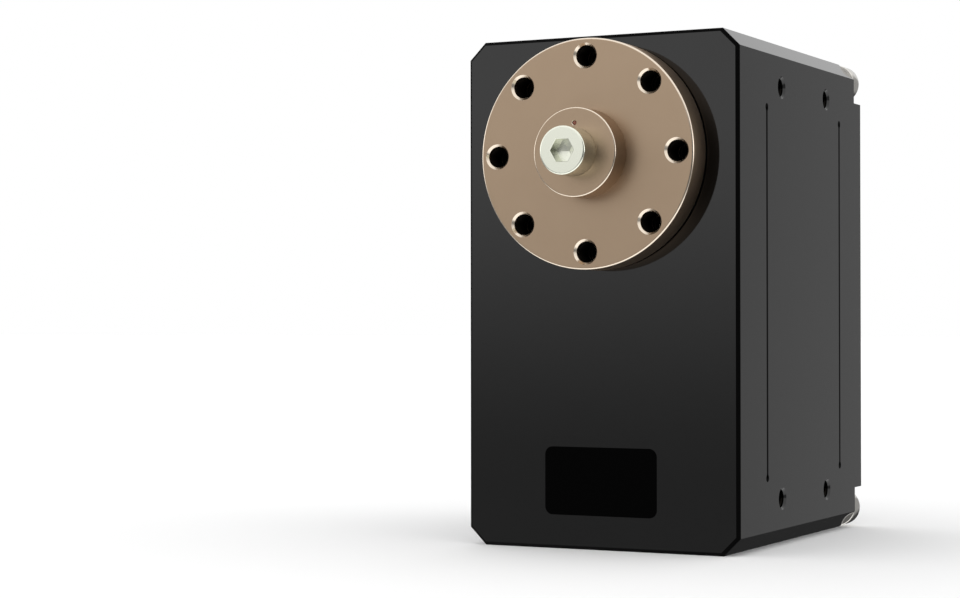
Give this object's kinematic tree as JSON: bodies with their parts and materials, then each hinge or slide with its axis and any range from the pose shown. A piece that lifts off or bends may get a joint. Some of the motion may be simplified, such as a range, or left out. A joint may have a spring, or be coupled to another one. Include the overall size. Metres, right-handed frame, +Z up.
{
  "type": "robot joint actuator",
  "caption": "Compact rectangular robot joint actuator with a flat drilled output horn, reduction gears inside and a round rear connector in a stepped recess.",
  "frame": {"origin": "on the output axis, at the flat bolting face of the output horn", "axes": "-Y out of the output horn, +Y towards the rear connector, +Z up along the long side of the casing, +X to the right seen from the horn"},
  "size_m": [0.0336, 0.0551, 0.0584],
  "materials": {
    "black_casing": "smooth black coating, mirror-like",
    "horn_metal": "satin warm grey",
    "bright_steel": "bright stainless screws",
    "shaft_steel": "ground",
    "gear_steel": "machined and oiled",
    "bearing_steel": "polished",
    "bronze": "sintered bronze",
    "contact_gold": "gold plated",
    "connector_metal": "nickel plated brass",
    "black_rubber": "matt",
    "magnet": "nickel plated",
    "copper_winding": "enamelled copper wire",
    "motor_can_steel": "zinc plated",
    "motor_cap": "moulded",
    "circuit_board": "solder mask",
    "chip_black": "moulded",
    "capacitor_tan": "moulded",
    "insulator_red": "dark red",
    "label_black": "matt black, bare",
    "ribbon_film": "polyimide film"
  },
  "bodies": {
    "casing": {"front_case": "black_casing", "middle_case": "black_casing", "rear_cover": "black_casing", "front_gasket": "black_rubber", "rear_gasket": "black_rubber", "label_plate": "label_black", "left_gear_pin": "shaft_steel", "right_gear_pin": "shaft_steel", "pin_washer": "bronze", "pin_sleeve": "bronze", "shaft_seal": "black_rubber", "front_bearing_outer": "bearing_steel", "rear_bearing_outer": "bearing_steel", "motor_can": "motor_can_steel", "motor_end_cap": "motor_cap", "motor_magnet": "magnet", "motor_front_bush": "bronze", "motor_rear_bush": "bronze", "motor_screw_left": "bright_steel", "motor_screw_right": "bright_steel", "encoder_board": "circuit_board", "encoder_chip": "chip_black", "encoder_screw_left": "bright_steel", "encoder_screw_right": "bright_steel", "control_board": "circuit_board", "processor_chip": "chip_black", "driver_chip": "chip_black", "power_capacitor": "capacitor_tan", "board_screw_left": "bright_steel", "board_screw_right": "bright_steel", "link_ribbon": "ribbon_film", "connector_shell": "connector_metal", "connector_insulator": "insulator_red", "connector_contact_1": "contact_gold", "connector_contact_2": "contact_gold", "connector_contact_3": "contact_gold", "connector_contact_4": "contact_gold", "connector_nut": "connector_metal", "connector_seal": "black_rubber", "corner_screw_1": "bright_steel", "corner_screw_2": "bright_steel", "corner_screw_3": "bright_steel", "corner_screw_4": "bright_steel"},
    "output": {"output_horn": "horn_metal", "horn_screw": "bright_steel", "output_shaft": "shaft_steel", "output_gear": "gear_steel", "front_bearing_inner": "bearing_steel", "rear_bearing_inner": "bearing_steel", "encoder_magnet": "magnet"},
    "third_reduction": {"third_gear": "gear_steel"},
    "second_reduction": {"second_gear": "gear_steel"},
    "first_reduction": {"first_gear": "bronze"},
    "motor_rotor": {"motor_coil": "copper_winding", "motor_shaft": "shaft_steel", "motor_pinion": "gear_steel"},
    "front_bearing_cage": {"front_bearing_balls": "bearing_steel"},
    "rear_bearing_cage": {"rear_bearing_balls": "bearing_steel"}
  },
  "joints": [
    {"name": "output_turn", "type": "hinge", "parent": "casing", "child": "output", "pos_m": [0, 0, 0], "axis": [0, -1, 0], "continuous": true},
    {"name": "third_reduction_turn", "type": "hinge", "parent": "casing", "child": "third_reduction", "pos_m": [-0.00349, 0.0155, -0.01428], "axis": [0, -1, 0], "continuous": true},
    {"name": "second_reduction_turn", "type": "hinge", "parent": "casing", "child": "second_reduction", "pos_m": [0.00421, 0.017, -0.02142], "axis": [0, -1, 0], "continuous": true},
    {"name": "first_reduction_turn", "type": "hinge", "parent": "casing", "child": "first_reduction", "pos_m": [-0.00349, 0.0195, -0.01428], "axis": [0, -1, 0], "continuous": true},
    {"name": "motor_turn", "type": "hinge", "parent": "casing", "child": "motor_rotor", "pos_m": [0, 0.03, -0.0245], "axis": [0, -1, 0], "continuous": true},
    {"name": "front_bearing_cage_turn", "type": "hinge", "parent": "casing", "child": "front_bearing_cage", "pos_m": [0, 0.0076, 0], "axis": [0, -1, 0], "continuous": true},
    {"name": "rear_bearing_cage_turn", "type": "hinge", "parent": "casing", "child": "rear_bearing_cage", "pos_m": [0, 0.0235, 0], "axis": [0, -1, 0], "continuous": true}
  ],
  "couplings": [
    {"joint": "third_reduction_turn", "follows": "output_turn", "ratio": -3.2},
    {"joint": "second_reduction_turn", "follows": "output_turn", "ratio": 10.24},
    {"joint": "first_reduction_turn", "follows": "output_turn", "ratio": -32.768},
    {"joint": "motor_turn", "follows": "output_turn", "ratio": 144.18},
    {"joint": "front_bearing_cage_turn", "follows": "output_turn", "ratio": 0.436},
    {"joint": "rear_bearing_cage_turn", "follows": "output_turn", "ratio": 0.425}
  ]
}
